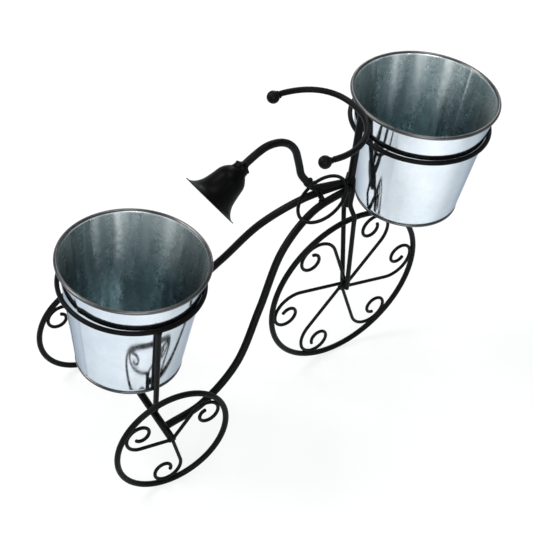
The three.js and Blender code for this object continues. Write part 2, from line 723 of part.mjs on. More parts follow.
// Collar: a plain barrel on the crown, with a thicker flange on the side of the arm
const collarBore = ARM_ROD / 2 + WELD_GAP;
const collarFoot = BELL_LENGTH + WELD_GAP;
const collarTop = collarFoot + COLLAR_LENGTH;
addPiece('bell_collar', turned([
  [collarBore, collarFoot],
  [COLLAR_DIAMETER / 2, collarFoot],
  [COLLAR_DIAMETER / 2, collarTop - FLANGE_THICKNESS],
  [FLANGE_DIAMETER / 2, collarTop - FLANGE_THICKNESS],
  [FLANGE_DIAMETER / 2, collarTop - FLANGE_ROUND],
  [FLANGE_DIAMETER / 2 - FLANGE_ROUND, collarTop],
  [collarBore, collarTop],
], BELL_SIDES / 2), PAINT, bell);

// Oval ring: its front end close behind the post, lowered until it rests on what lies under it
const saddleRing = addPiece('saddle_ring', ovalRing(), PAINT);
saddleRing.rotation.set(-SADDLE_RING_ROLL, -SADDLE_RING_PITCH, SADDLE_RING_YAW, 'ZYX');
saddleRing.position.set(POST_X - SADDLE_RING_BEHIND_POST, -SADDLE_RING_RIGHT_OF_POST, 0);

function ringPoint(share) {
  const angle = share * 2 * Math.PI;
  return new THREE.Vector3(
    (SADDLE_RING_LENGTH / 2) * Math.cos(angle),
    (SADDLE_RING_WIDTH / 2) * Math.sin(angle),
    0,
  ).applyEuler(saddleRing.rotation).add(saddleRing.position);
}

// How high the ring's middle stands when it rests on a rod along this route.
function seatHeight(route, diameter) {
  const reach = (diameter + SADDLE_RING_ROD) / 2 + WELD_GAP;
  const spots = Array.from({ length: SEAT_SAMPLES }, (_, i) => ringPoint(i / SEAT_SAMPLES));
  const heights = route.getSpacedPoints(SEAT_SAMPLES).flatMap((under) => spots.map((spot) => {
    const across = Math.hypot(spot.x - under.x, spot.y - under.y);
    return across < reach ? under.z + Math.sqrt(reach ** 2 - across ** 2) - spot.z : -Infinity;
  }));
  return Math.max(...heights);
}

saddleRing.position.z = Math.max(
  seatHeight(railRoute(1), RAIL_ROD),
  seatHeight(railRoute(-1), RAIL_ROD),
  seatHeight(new THREE.LineCurve3(crossNear, crossEnd), CROSS_BAR_ROD),
  seatHeight(new THREE.LineCurve3(stemStart, stemOver), STEM_ROD),
);

export default stand;
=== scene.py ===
"""Tricycle plant stand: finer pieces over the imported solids, with their materials, light and camera.

Metres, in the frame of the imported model: +X is the way the tricycle faces, +Y its left, +Z up.
The parts' sizes are listed in millimetres and turned into metres by MM. Those of the textures, floor,
lamps and camera are in metres. Lists whose names end in SHARES hold parts of a whole, from 0 to 1.
"""

import math

import bmesh
import bpy
from mathutils import Euler, Matrix, Vector, noise


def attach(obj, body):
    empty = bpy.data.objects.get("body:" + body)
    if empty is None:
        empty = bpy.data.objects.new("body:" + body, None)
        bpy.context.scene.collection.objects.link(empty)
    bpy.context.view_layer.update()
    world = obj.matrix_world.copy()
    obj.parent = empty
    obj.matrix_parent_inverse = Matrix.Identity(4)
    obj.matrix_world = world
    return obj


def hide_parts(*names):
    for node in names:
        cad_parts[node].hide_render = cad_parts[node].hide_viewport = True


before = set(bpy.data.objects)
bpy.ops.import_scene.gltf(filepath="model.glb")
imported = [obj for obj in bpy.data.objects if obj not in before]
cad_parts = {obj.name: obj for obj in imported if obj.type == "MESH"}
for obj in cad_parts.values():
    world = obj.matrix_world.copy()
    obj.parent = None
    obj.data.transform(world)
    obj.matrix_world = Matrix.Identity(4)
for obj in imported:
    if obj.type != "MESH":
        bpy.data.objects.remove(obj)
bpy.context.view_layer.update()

MM = 0.001
FRAME = "frame"
SIDES = ((1, "left"), (-1, "right"))

# Sizes of the solids
GAP = 0.3
REAR_POT_X, FRONT_POT_X = -157.95, 157.95
REAR_RIM_Z, FRONT_RIM_Z = 223.4, 327.4
POT_PLACES = {"rear_pot": (REAR_POT_X, REAR_RIM_Z), "front_pot": (FRONT_POT_X, FRONT_RIM_Z)}
POT_RIM_RADIUS, POT_BEAD, POT_BASE_RADIUS = 75.0, 3.6, 52.5
POT_HEIGHT, POT_WALL, POT_CRIMP, POT_FLOOR_RECESS = 127.3, 0.8, 3.0, 4.0
REAR_RING_DEPTH, FRONT_RING_DEPTH, RING_SLACK = 28.1, 31.6, 0.9
FRONT_WHEEL, REAR_WHEEL, REAR_TRACK = 193.1, 124.7, 182.4
WHEEL_YAW = math.radians(4.2)
POST_OVER_WHEEL, AXLE_AHEAD_OF_POT, HUB_AHEAD_OF_POST = 17.7, 3.5, 14.8

# Diameters of the rods, and the film of paint on them, which closes the gaps between the solids
RING_ROD, RING_POST_ROD, POST_ROD, RAIL_ROD, AXLE_ROD, FORK_ROD = 4.2, 5.0, 7.2, 7.2, 7.2, 5.0
RIM_ROD, SCROLL_ROD, BAR_ROD, CROSS_ROD, STEM_ROD, ARM_ROD, OVAL_ROD = 5.4, 3.0, 5.5, 5.0, 5.5, 7.1, 3.0
COAT = 0.3

POT_TOP_RADIUS = POT_RIM_RADIUS - POT_BEAD
POT_TAPER = (POT_TOP_RADIUS - POT_BASE_RADIUS) / POT_HEIGHT


def pot_radius(depth):
    """The outside of a pot's wall at a depth below its rim."""
    return POT_TOP_RADIUS - POT_TAPER * depth


def ring_radius(depth):
    """The middle of the rod of a ring that holds its pot at a depth below the rim."""
    return pot_radius(depth) + GAP + RING_ROD / 2 + RING_SLACK


REAR_RING_RADIUS, FRONT_RING_RADIUS = ring_radius(REAR_RING_DEPTH), ring_radius(FRONT_RING_DEPTH)
REAR_RING_Z, FRONT_RING_Z = REAR_RIM_Z - REAR_RING_DEPTH, FRONT_RIM_Z - FRONT_RING_DEPTH
REAR_RING_X, FRONT_RING_X = REAR_POT_X - RING_SLACK, FRONT_POT_X - RING_SLACK
POST_TOP_Z = FRONT_RIM_Z - POT_BEAD / 2 - GAP
POST_FOOT_Z = FRONT_WHEEL + POST_OVER_WHEEL
POST_X = FRONT_POT_X - (pot_radius(FRONT_RIM_Z - POST_TOP_Z) + GAP) - POST_ROD / 2
AXLE_X, AXLE_Z = REAR_POT_X + AXLE_AHEAD_OF_POT, REAR_WHEEL / 2
WHEEL_Y = REAR_TRACK / 2
AXLE_HALF = WHEEL_Y - SCROLL_ROD / 2 - GAP
HUB_X, HUB_Z = POST_X + HUB_AHEAD_OF_POST, FRONT_WHEEL / 2


# Routes


def lerp(a, b, share):
    return a + (b - a) * share


def even(start, end, steps):
    return [lerp(start, end, i / steps) for i in range(steps + 1)]


def full_turn(count):
    return [2 * math.pi * i / count for i in range(count)]


def through(points, per_span=10):
    """A centripetal Catmull-Rom route through points, sampled evenly in each span."""
    pts = [Vector(p) for p in points]
    pts = [2 * pts[0] - pts[1]] + pts + [2 * pts[-1] - pts[-2]]
    out = []
    for i in range(1, len(pts) - 2):
        p0, p1, p2, p3 = pts[i - 1:i + 3]
        d0, d1, d2 = ((b - a).length ** 0.5 for a, b in ((p0, p1), (p1, p2), (p2, p3)))
        t1 = ((p1 - p0) / d0 - (p2 - p0) / (d0 + d1) + (p2 - p1) / d1) * d1
        t2 = ((p2 - p1) / d1 - (p3 - p1) / (d1 + d2) + (p3 - p2) / d2) * d1
        for k in range(per_span):
            t = k / per_span
            out.append(p1 + t1 * t + (3 * (p2 - p1) - 2 * t1 - t2) * t ** 2
                       + (2 * (p1 - p2) + t1 + t2) * t ** 3)
    out.append(pts[-2].copy())
    return out


def round_points(radius_x, radius_y, angles, centre=(0, 0, 0)):
    """Points of a level circle or ellipse at the given angles."""
    return [Vector(centre) + Vector((radius_x * math.cos(a), radius_y * math.sin(a), 0)) for a in angles]


def arc(radius, height, bend, start, end, steps):
    """Profile points on an arc of radius bend about (radius, height), from start to end in degrees."""
    return [(radius + bend * math.cos(a), height + bend * math.sin(a))
            for a in (math.radians(degrees) for degrees in even(start, end, steps))]


def facing(origin, heading):
    """Moves a piece that was turned about Z to an origin in millimetres, with its axis on a heading."""
    turn = Vector((0, 0, 1)).rotation_difference(heading).to_matrix().to_4x4()
    return Matrix.Translation(Vector(origin) * MM) @ turn


# Mesh makers

END_BEVEL, END_BEVEL_LIMIT = 0.7, 0.6


def make_object(name, bm, body, materials, nodes=(), sharp=38):
    """Makes a piece of a body from its mesh; edges that bend by more than sharp degrees stay sharp."""
    for face in bm.faces:
        face.smooth = True
    bm.normal_update()
    for edge in bm.edges:
        if len(edge.link_faces) == 2 and edge.calc_face_angle(0) > math.radians(sharp):
            edge.smooth = False
    mesh = bpy.data.meshes.new(name)
    bm.to_mesh(mesh)
    bm.free()
    piece = bpy.data.objects.new(name, mesh)
    bpy.context.scene.collection.objects.link(piece)
    for material in materials:
        mesh.materials.append(material)
    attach(piece, body)
    if nodes:
        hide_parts(*nodes)


def tangents_along(points, closed):
    last = len(points) - 1
    tangents = []
    for i in range(len(points)):
        if closed:
            step = points[(i + 1) % len(points)] - points[i - 1]
        else:
            step = points[min(i + 1, last)] - points[max(i - 1, 0)]
        tangents.append(step.normalized())
    return tangents


def cross_sections(points, radii, closed):
    """Centre, two directions and radius along a route, and the twist that joins a closed one up.
    Open ends get a small bevel, which takes a limited share of a thin end's radius."""
    tangents = tangents_along(points, closed)
    side = tangents[0].orthogonal().normalized()
    sections = []
    for i, point in enumerate(points):
        if i:
            side = tangents[i - 1].rotation_difference(tangents[i]) @ side
            side = (side - tangents[i] * side.dot(tangents[i])).normalized()
        sections.append((point, side.copy(), tangents[i].cross(side), radii[i]))
    if closed:
        last = tangents[-1].rotation_difference(tangents[0]) @ side
        return sections, -math.atan2(last.dot(sections[0][2]), last.dot(sections[0][1]))
    (p0, u0, v0, r0), (p1, u1, v1, r1) = sections[0], sections[-1]
    bevel = min(END_BEVEL * MM, END_BEVEL_LIMIT * min(r0, r1))
    start = [(p0, u0, v0, r0 - bevel), (p0 + tangents[0] * bevel, u0, v0, r0)]
    end = [(p1 - tangents[-1] * bevel, u1, v1, r1), (p1, u1, v1, r1 - bevel)]
    return start + sections[1:-1] + end, 0.0


def rod(name, route_mm, diameter_mm, nodes, closed=False, place=None, sides=20, radii=None):
    """A round rod along a route, with its film of paint. Radii in metres stand in for the diameter
    where the rod tapers."""
    points = [Vector(p) * MM for p in route_mm]
    if place is not None:
        points = [place @ p for p in points]
    radii = radii or [(diameter_mm / 2 + COAT) * MM] * len(points)
    sections, twist = cross_sections(points, radii, closed)
    bm = bmesh.new()
    rings = []
    for i, (centre, u, v, r) in enumerate(sections):
        turn = twist * i / len(sections)
        rings.append([bm.verts.new(centre + u * (r * math.cos(a + turn)) + v * (r * math.sin(a + turn)))
                      for a in full_turn(sides)])
    for a, b in zip(rings, rings[1:] + (rings[:1] if closed else [])):
        for k in range(sides):
            j = (k + 1) % sides
            bm.faces.new((a[k], a[j], b[j], b[k]))
    if not closed:
        bm.faces.new(list(reversed(rings[0])))
        bm.faces.new(rings[-1])
    make_object(name, bm, FRAME, [PAINT], nodes)


def turned_piece(name, profile, segments, place, nodes, body=FRAME, materials=None,
                 sharp=38, closed=True, material_of=None, warp=None):
    """Turns a profile of (radius, height) in millimetres about Z; radius 0 closes on the axis. Where
    they are given, warp moves a point in or out and material_of picks the material of a span."""
    bm = bmesh.new()
    rings = []
    for index, (radius, height) in enumerate((r * MM, z * MM) for r, z in profile):
        if radius == 0:
            rings.append([bm.verts.new(place @ Vector((0, 0, height)))])
            continue
        ring = []
        for angle in full_turn(segments):
            r = warp(radius, angle, index) if warp else radius
            ring.append(bm.verts.new(place @ Vector((r * math.cos(angle), r * math.sin(angle), height))))
        rings.append(ring)
    for i in range(len(rings) if closed else len(rings) - 1):
        a, b = rings[i], rings[(i + 1) % len(rings)]
        for k in range(segments):
            j = (k + 1) % segments
            corners = list(dict.fromkeys([a[k % len(a)], a[j % len(a)], b[j % len(b)], b[k % len(b)]]))
            if len(corners) > 2:
                face = bm.faces.new(corners)
                if material_of:
                    face.material_index = material_of(i)
    make_object(name, bm, body, materials or [PAINT], nodes, sharp)


# Materials


class Tree:
    """The nodes of a material or of the world, with a short call for each kind that is used here."""

    def __init__(self, owner):
        owner.use_nodes = True
        self.nodes, self.links = owner.node_tree.nodes, owner.node_tree.links

    def put(self, socket, value):
        """Links a socket to another node's output, or sets it to a constant."""
        if isinstance(value, bpy.types.NodeSocket):
            self.links.new(value, socket)
        else:
            socket.default_value = value

    def add(self, kind, inputs=None, **settings):
        node = self.nodes.new(f"ShaderNode{kind}")
        for name, value in settings.items():
            setattr(node, name, value)
        for key, value in (inputs or {}).items():
            self.put(node.inputs[key], value)
        return node

    def coords(self, kind="Object"):
        return self.add("TexCoord").outputs[kind]

    def xyz(self, vector):
        return self.add("SeparateXYZ", {"Vector": vector}).outputs

    def noise(self, coords, scale, detail=3.0, roughness=0.55, stretch=None):
        if stretch:
            coords = self.add("Mapping", {"Vector": coords, "Scale": stretch}).outputs["Vector"]
        inputs = {"Vector": coords, "Scale": scale, "Detail": detail, "Roughness": roughness}
        return self.add("TexNoise", inputs).outputs["Fac"]

    def span(self, value, low, high, to_low, to_high):
        """Carries a value from one range to another, and clamps it there."""
        inputs = {"Value": value, "From Min": low, "From Max": high, "To Min": to_low, "To Max": to_high}
        return self.add("MapRange", inputs).outputs["Result"]

    def ramp(self, value, stops, interpolation="LINEAR"):
        node = self.add("ValToRGB", {"Fac": value})
        node.color_ramp.interpolation = interpolation
        elements = node.color_ramp.elements
        while len(elements) < len(stops):
            elements.new(0.5)
        for element, (position, colour) in zip(elements, stops):
            element.position = position
            element.color = (*colour, 1)
        return node.outputs["Color"]

    def math(self, operation, *values):
        return self.add("Math", dict(enumerate(values)), operation=operation).outputs["Value"]

    def mix(self, factor, a, b, blend="MIX"):
        inputs = {"Factor": factor, "A": a, "B": b}
        return self.add("Mix", inputs, data_type="RGBA", blend_type=blend).outputs["Result"]

    def bump(self, height, strength, distance, normal=None):
        inputs = {"Height": height, "Strength": strength, "Distance": distance}
        if normal:
            inputs["Normal"] = normal
        return self.add("Bump", inputs).outputs["Normal"]


def new_material(name):
    material = bpy.data.materials.new(name)
    tree = Tree(material)
    return material, tree, tree.nodes["Principled BSDF"].inputs


# Textures of the paint: scale and detail of the noise, and the depth of the bumps
PAINT_PATCHES, PAINT_LUMPS, PAINT_PEEL = (45, 4), (220, 2), (1400, 2)
PAINT_LUMP_DEPTH, PAINT_PEEL_DEPTH = 0.00015, 0.00004


def paint_material(name, dark, worn, rough, specular, peel):
    """Black paint on drawn wire or spun sheet: a faint orange peel and duller, dustier patches."""
    material, tree, shader = new_material(name)
    coords = tree.coords()
    patches = tree.noise(coords, *PAINT_PATCHES)
    tree.put(shader["Base Color"], tree.ramp(patches, [(0.3, dark), (0.75, worn)]))
    tree.put(shader["Roughness"], tree.span(patches, 0.25, 0.75, *rough))
    tree.put(shader["Specular IOR Level"], specular)
    lumps = tree.bump(tree.noise(coords, *PAINT_LUMPS), peel * 2, PAINT_LUMP_DEPTH)
    tree.put(shader["Normal"], tree.bump(tree.noise(coords, *PAINT_PEEL), peel, PAINT_PEEL_DEPTH, lumps))
    return material


# How far the spangles' edges waver, and the noise that they and the streaks waver by
SPANGLE_WAVER, SPANGLE_NOISE, STREAK_NOISE = (0.012, 0.012, 0.012), (90, 2), (40, 2)


def spangles(tree, coords, scale):
    """The zinc's crystals: two random numbers for each cell of a pattern with wavering edges."""
    wander = tree.add("VectorMath", {0: tree.noise(coords, *SPANGLE_NOISE), 1: SPANGLE_WAVER, 2: coords},
                      operation="MULTIPLY_ADD").outputs["Vector"]
    cells = tree.add("TexVoronoi", {"Scale": scale, "Vector": wander})
    split = tree.add("SeparateColor", {"Color": cells.outputs["Color"]})
    return split.outputs["Red"], split.outputs["Green"]


def turn_share(tree, coords, pot, waver):
    """How far round a pot a point lies, from 0 to 1, starting at the back, with a slight waver."""
    place = tree.xyz(coords)
    ahead = tree.math("SUBTRACT", place["X"], POT_PLACES[pot][0] * MM)
    share = tree.span(tree.math("ARCTAN2", place["Y"], ahead), -math.pi, math.pi, 0, 1)
    return tree.math("MULTIPLY_ADD", tree.noise(coords, *STREAK_NOISE), waver, share)


def tone_stops(tones):
    """Stops of a ramp over the turn of a pot, from (degrees, tone) pairs."""
    return [((degrees + 180) / 360, (tone, tone, tone)) for degrees, tone in tones]


# The lap seam outside, in degrees from its place on the pot: a faint line at the sheet's hidden edge
# and a dark one at its open edge
SEAM_DEGREES = {"rear_pot": -165, "front_pot": 15}
SEAM_LINES = [(-3.4, 1), (-2.9, 0.72), (-2.4, 1), (-0.7, 0.95), (0, 0.42), (0.6, 1)]

# Textures of the zinc: scale, detail, roughness and stretch of the noise, and the depth of the bumps
ZINC_CLOUDS, ZINC_DRAWN = (28, 4, 0.6), (60, 3, 0.6, (1, 1, 0.12))
ZINC_WAVES, ZINC_GRIT = (130, 2, 0.5, (1, 1, 0.45)), (700, 3)
ZINC_WAVE_DEPTH, ZINC_GRIT_DEPTH = 0.0004, 0.00003


def zinc_material(name, dark, light, rough, spangle_scale, spangle, waviness, pot=None, edge_tint=None):
    """Zinc-coated sheet: crystal patches that differ a little in tone and polish, over soft waves."""
    material, tree, shader = new_material(name)
    tree.put(shader["Metallic"], 1.0)
    if edge_tint:
        tree.put(shader["Specular Tint"], (*edge_tint, 1))
    coords = tree.coords()
    tone, polish = spangles(tree, coords, spangle_scale)
    patches = tree.math("MULTIPLY_ADD", tone, spangle, tree.noise(coords, *ZINC_CLOUDS))
    colour = tree.ramp(patches, [(0.3, dark), (0.8 + spangle * 0.5, light)])
    if pot:
        lines = tone_stops([(SEAM_DEGREES[pot] + degrees, shade) for degrees, shade in SEAM_LINES])
        colour = tree.mix(1, colour, tree.ramp(turn_share(tree, coords, pot, 0.0), lines), "MULTIPLY")
    tree.put(shader["Base Color"], colour)
    gloss = tree.math("MULTIPLY_ADD", polish, 0.35, tree.noise(coords, *ZINC_DRAWN))
    tree.put(shader["Roughness"], tree.span(gloss, 0.3, 1.0, *rough))
    waves = tree.bump(tree.noise(coords, *ZINC_WAVES), waviness, ZINC_WAVE_DEPTH)
    tree.put(shader["Normal"], tree.bump(tree.noise(coords, *ZINC_GRIT), 0.2, ZINC_GRIT_DEPTH, waves))
    return material


# Painted highlight streaks inside each pot, pale and fading down from the rim: (degrees round it, strength)
PAINTED_HIGHLIGHT_STREAKS = {
    "rear_pot": [(-170, 0.2), (-120, 0.5), (-60, 0.15), (-10, 0.05), (14, 0.1), (24, 0.35), (34, 0.6),
                 (42, 0.35), (53, 0.4), (66, 0.25), (72, 0.5), (77.5, 1.0), (83, 0.3), (92, 0.3),
                 (97, 0.6), (104, 0.1), (125, 0.0), (160, 0.05)],
    "front_pot": [(-170, 0.2), (-120, 0.3), (-60, 0.4), (-12, 0.05), (6, 0.05), (14.3, 0.1), (15.2, 0.9),
                  (16.2, 0.1), (30, 0.35), (37, 0.9), (43, 0.3), (50, 0.25), (61, 0.85), (67, 0.3),
                  (72, 0.1), (77, 0.35), (82, 0.8), (88, 0.2), (104, 0.02), (150, 0.1)]}
HIGHLIGHT_STREAK_WAVER = 0.012

# Tones of the drawn zinc near the floor and near the rim, darker low in the pot as painted shade, and of the
# painted highlight
SHADED_LOW_ZINC = [(0.52, (0.24, 0.31, 0.335)), (0.82, (0.46, 0.555, 0.58))]
LIT_HIGH_ZINC = [(0.52, (0.36, 0.44, 0.455)), (0.82, (0.77, 0.83, 0.83))]
PAINTED_HIGHLIGHT_TONE = (0.83, 0.87, 0.86, 1)

# Textures inside the pots, listed like those of the zinc
INSIDE_SPANGLES, INSIDE_DRAWN, INSIDE_CLOUDS = 330, (44, 3, 0.5, (1, 1, 0.08)), (22, 3, 0.5)
INSIDE_RIPPLES, INSIDE_GRIT = (60, 1, 0.4, (1, 1, 0.06)), (500, 3)
INSIDE_RIPPLE_DEPTH, INSIDE_GRIT_DEPTH = 0.003, 0.00003


def drawn_zinc_material(name, pot):
    """The inside of a pot: ripples down the drawn wall, painted highlight streaks under the rim,
    and painted shade that darkens the zinc toward the floor."""
    material, tree, shader = new_material(name)
    coords = tree.coords()
    height = tree.xyz(tree.coords("Generated"))["Z"]
    tone, polish = spangles(tree, coords, INSIDE_SPANGLES)
    drawn = tree.noise(coords, *INSIDE_DRAWN)
    clouded = tree.math("MULTIPLY_ADD", tree.noise(coords, *INSIDE_CLOUDS), 0.25, drawn)
    value = tree.math("MULTIPLY_ADD", tone, 0.10, clouded)
    # Painted shade: the zinc is darker low in the pot and lighter toward the rim.
    lit_up_wall = tree.span(height, 0.15, 0.9, 0, 1)
    shaded_coat = tree.mix(lit_up_wall, tree.ramp(value, SHADED_LOW_ZINC), tree.ramp(value, LIT_HIGH_ZINC))
    around = turn_share(tree, coords, pot, HIGHLIGHT_STREAK_WAVER)
    # Painted highlight: pale, less metallic streaks under the rim stand in for lamp light caught on the drawn
    # wall.
    highlight_streak = tree.ramp(around, tone_stops(PAINTED_HIGHLIGHT_STREAKS[pot]), "EASE")
    highlight_near_rim = tree.span(tree.math("MULTIPLY_ADD", tone, 0.10, height), 0.46, 1.04, 0, 1)
    painted_highlight = tree.math("MULTIPLY", highlight_streak, highlight_near_rim)
    tree.put(shader["Metallic"], tree.span(painted_highlight, 0, 0.9, 1, 0.1))
    tree.put(shader["Base Color"], tree.mix(painted_highlight, shaded_coat, PAINTED_HIGHLIGHT_TONE))
    gloss = tree.math("MULTIPLY_ADD", polish, 0.12, drawn)
    tree.put(shader["Roughness"], tree.span(gloss, 0.35, 0.75, 0.34, 0.20))
    ripples = tree.bump(tree.noise(coords, *INSIDE_RIPPLES), 1.0, INSIDE_RIPPLE_DEPTH)
    tree.put(shader["Normal"], tree.bump(tree.noise(coords, *INSIDE_GRIT), 0.15, INSIDE_GRIT_DEPTH, ripples))
    return material


PAINT = paint_material("black_paint", (0.0016, 0.0016, 0.0018), (0.0040, 0.0038, 0.0036), (0.36, 0.52),
                       0.09, 0.25)
BELL_PAINT = paint_material("bell_paint", (0.0008, 0.0008, 0.0009), (0.0018, 0.0017, 0.0016), (0.34, 0.42),
                            0.06, 0.08)
ZINC_OUT = {pot: zinc_material(f"zinc_outside_{pot}", (0.68, 0.745, 0.79), (0.84, 0.88, 0.91), (0.05, 0.13),
                               260, 0.12, 0.08, pot, (0.42, 0.46, 0.50)) for pot in POT_PLACES}
ZINC_IN = {pot: drawn_zinc_material(f"zinc_inside_{pot}", pot) for pot in POT_PLACES}
# The pots' floors: the same zinc, painted darker as shade at the bottom of the pot.
ZINC_FLOOR_IN_PAINTED_SHADE = zinc_material("zinc_floor_painted_shade", (0.17, 0.205, 0.215), (0.40, 0.46, 0.475), (0.24, 0.38), 330, 0.3,
                           0.12)
ZINC_RIM = zinc_material("zinc_rim", (0.078, 0.077, 0.076), (0.168, 0.166, 0.164), (0.26, 0.34), 300, 0.06,
                         0.08)


# Pots

# The wall's two lowest points by their height over the foot, and its top one by its depth under the rim
WALL_STARTS, WALL_TOP = (2.1 * POT_CRIMP, 2 * POT_CRIMP + 1.2), 1.05 * POT_BEAD
WALL_SHARES = (0.2, 0.4, 0.6, 0.8)
# Round stretches, by start and end in degrees and steps
CRIMP_ARC, BEAD_ARC = (-90, 78, 9), (-150, 128, 18)
# The inside just under the bead: how far in from the wall's top radius, and height
INSIDE_TOP = [(POT_WALL * 0.7, POT_BEAD / 2 * 0.25), (POT_WALL, -1.5)]
LAP_RISE, LAP_WIDTH = 0.35, 7.0
FLOOR_CLEAR, FLOOR_DISH = 0.12, 0.9
POT_SHARP = 50
OUTSIDE, INSIDE, EDGES = range(3)


def add_pot(name):
    x, rim_z = POT_PLACES[name]
    place = Matrix.Translation(Vector((x, 0, rim_z)) * MM)
    bead, crimp, foot_z = POT_BEAD / 2, POT_CRIMP / 2, -POT_HEIGHT
    foot = [(POT_BASE_RADIUS - POT_WALL, foot_z)]
    foot += arc(POT_BASE_RADIUS - crimp / 2, foot_z + crimp, crimp, *CRIMP_ARC)
    wall = [(pot_radius(depth), -depth) for depth in [POT_HEIGHT - rise for rise in WALL_STARTS]
            + [POT_HEIGHT * share for share in reversed(WALL_SHARES)] + [WALL_TOP]]
    rim = arc(POT_RIM_RADIUS - bead, 0, bead, *BEAD_ARC)
    inside = [(POT_TOP_RADIUS - inward, z) for inward, z in INSIDE_TOP]
    inside += [(pot_radius(POT_HEIGHT * share) - POT_WALL, -POT_HEIGHT * share) for share in WALL_SHARES]
    foot_end = len(foot) - 1
    wall_end = foot_end + len(wall)
    rim_end = wall_end + len(rim)
    seam_angle = math.radians(SEAM_DEGREES[name])

    def lap_seam(radius, angle, index):
        """One edge of the sheet steps out sharply, and the sheet fades back behind it."""
        lap = ((angle - seam_angle + math.pi) % (2 * math.pi) - math.pi) * radius / MM
        in_wall = index > foot_end and not wall_end < index <= rim_end
        return radius + (LAP_RISE * (1 - lap / LAP_WIDTH) * MM if in_wall and 0 <= lap < LAP_WIDTH else 0)

    def face_material(index):
        if index < foot_end or wall_end <= index <= rim_end:
            return EDGES
        return OUTSIDE if index < wall_end else INSIDE

    turned_piece(f"{name}_sheet", foot + wall + rim + inside, 288, place, [f"{name}_wall"], name,
                 [ZINC_OUT[name], ZINC_IN[name], ZINC_RIM], POT_SHARP,
                 material_of=face_material, warp=lap_seam)
    top = POT_FLOOR_RECESS - POT_HEIGHT
    edge = POT_BASE_RADIUS - POT_WALL - FLOOR_CLEAR
    floor = [(0, top - POT_WALL), (edge - 3, top - POT_WALL), (edge - POT_WALL, top - 2),
             (edge - POT_WALL, foot_z + GAP), (edge, foot_z + GAP), (edge, top - 1.2),
             (edge - 0.5, top - 0.4), (edge - 2.2, top), (edge - 8, top), (edge - 9.5, top - FLOOR_DISH),
             (0, top - FLOOR_DISH)]
    turned_piece(f"{name}_base", floor, 144, place, [f"{name}_floor"], name, [ZINC_FLOOR_IN_PAINTED_SHADE],
                 POT_SHARP)


for pot_name in POT_PLACES:
    add_pot(pot_name)


# Rings, post and axle

# Each ring leans on its pot from the right-hand side, within its slack.
REAR_LEAN, FRONT_LEAN = Vector((0.2, 0.5, -0.2)), Vector((0.05, 0.25, 0.0))
RING_STEPS = 120

# The front ring's ends butt against the post from both sides.
ring_outside = FRONT_RING_RADIUS + RING_ROD / 2
ring_to_post = FRONT_RING_X - POST_X - ring_outside
RING_HALF_GAP = math.sqrt((POST_ROD / 2 + GAP) ** 2 - ring_to_post ** 2)
opening = math.asin(RING_HALF_GAP / ring_outside)

rod("rear_ring_wire", round_points(REAR_RING_RADIUS, REAR_RING_RADIUS, full_turn(RING_STEPS),
                                   Vector((REAR_RING_X, 0, REAR_RING_Z)) + REAR_LEAN),
    RING_ROD, ["rear_pot_ring"], True)
rod("front_ring_wire", round_points(FRONT_RING_RADIUS, FRONT_RING_RADIUS,
                                    even(opening - math.pi, math.pi - opening, RING_STEPS),
                                    Vector((FRONT_RING_X, 0, FRONT_RING_Z)) + FRONT_LEAN),
    RING_ROD, ["front_pot_ring"])
rod("post_rod", [(POST_X, 0, POST_FOOT_Z), (POST_X, 0, POST_TOP_Z)], POST_ROD, ["front_post"], sides=32)
rod("axle_rod", [(AXLE_X, -AXLE_HALF, AXLE_Z), (AXLE_X, AXLE_HALF, AXLE_Z)], AXLE_ROD, ["rear_axle"],
    sides=32)


# Side rails

# Shares of the way back, out and down at each point
RAIL_SHARES = [(0, 0, 0), (0.022, 0.006, 0.006), (0.191, 0.077, 0.059), (0.361, 0.238, 0.228),
               (0.494, 0.479, 0.531), (0.635, 0.725, 0.821), (0.822, 0.888, 0.979), (1, 1, 1)]
RAIL_HEAD_Z, RAIL_FRONT_SPREAD, RAIL_REAR_SPREAD = POST_FOOT_Z + 25.8, 9.5, 154.2
RAIL_AHEAD, RAIL_PAST_AXLE = 2.4, 2.6
rail_inset = (RAIL_FRONT_SPREAD - RAIL_ROD) / 2
RAIL_START = Vector((POST_X - math.sqrt((POST_ROD / 2 + GAP) ** 2 - rail_inset ** 2),
                     RAIL_FRONT_SPREAD / 2, RAIL_HEAD_Z))
RAIL_END = Vector((AXLE_X + RAIL_AHEAD, RAIL_REAR_SPREAD / 2,
                   AXLE_Z + math.sqrt((AXLE_ROD / 2 + GAP) ** 2 - RAIL_AHEAD ** 2) + RAIL_ROD / 2))


def rail_route(side):
    return through([(lerp(RAIL_START.x, RAIL_END.x, back), side * lerp(RAIL_START.y, RAIL_END.y, out),
                     lerp(RAIL_START.z, RAIL_END.z, down)) for back, out, down in RAIL_SHARES], 14)


def rail_point(side, x):
    """Where a rail passes a place along X, and its direction there."""
    route = RAILS[side]
    for a, b in zip(route, route[1:]):
        if a.x >= x >= b.x:
            return a.lerp(b, (a.x - x) / (a.x - b.x)), (b - a).normalized()
    raise ValueError("no rail point there")


RAILS = {side: rail_route(side) for side, _ in SIDES}
for side, word in SIDES:
    route = RAILS[side]
    past_axle = route[-1] + (route[-1] - route[-2]).normalized() * RAIL_PAST_AXLE
    rod(f"{word}_rail_rod", route + [past_axle], RAIL_ROD, [f"{word}_rail"], sides=24)


# Uprights of the rear ring

RING_POST_BACK, RING_POST_FOOT_AHEAD, RING_POST_CLEAR_OF_POT = 7, 1.5, 0.7


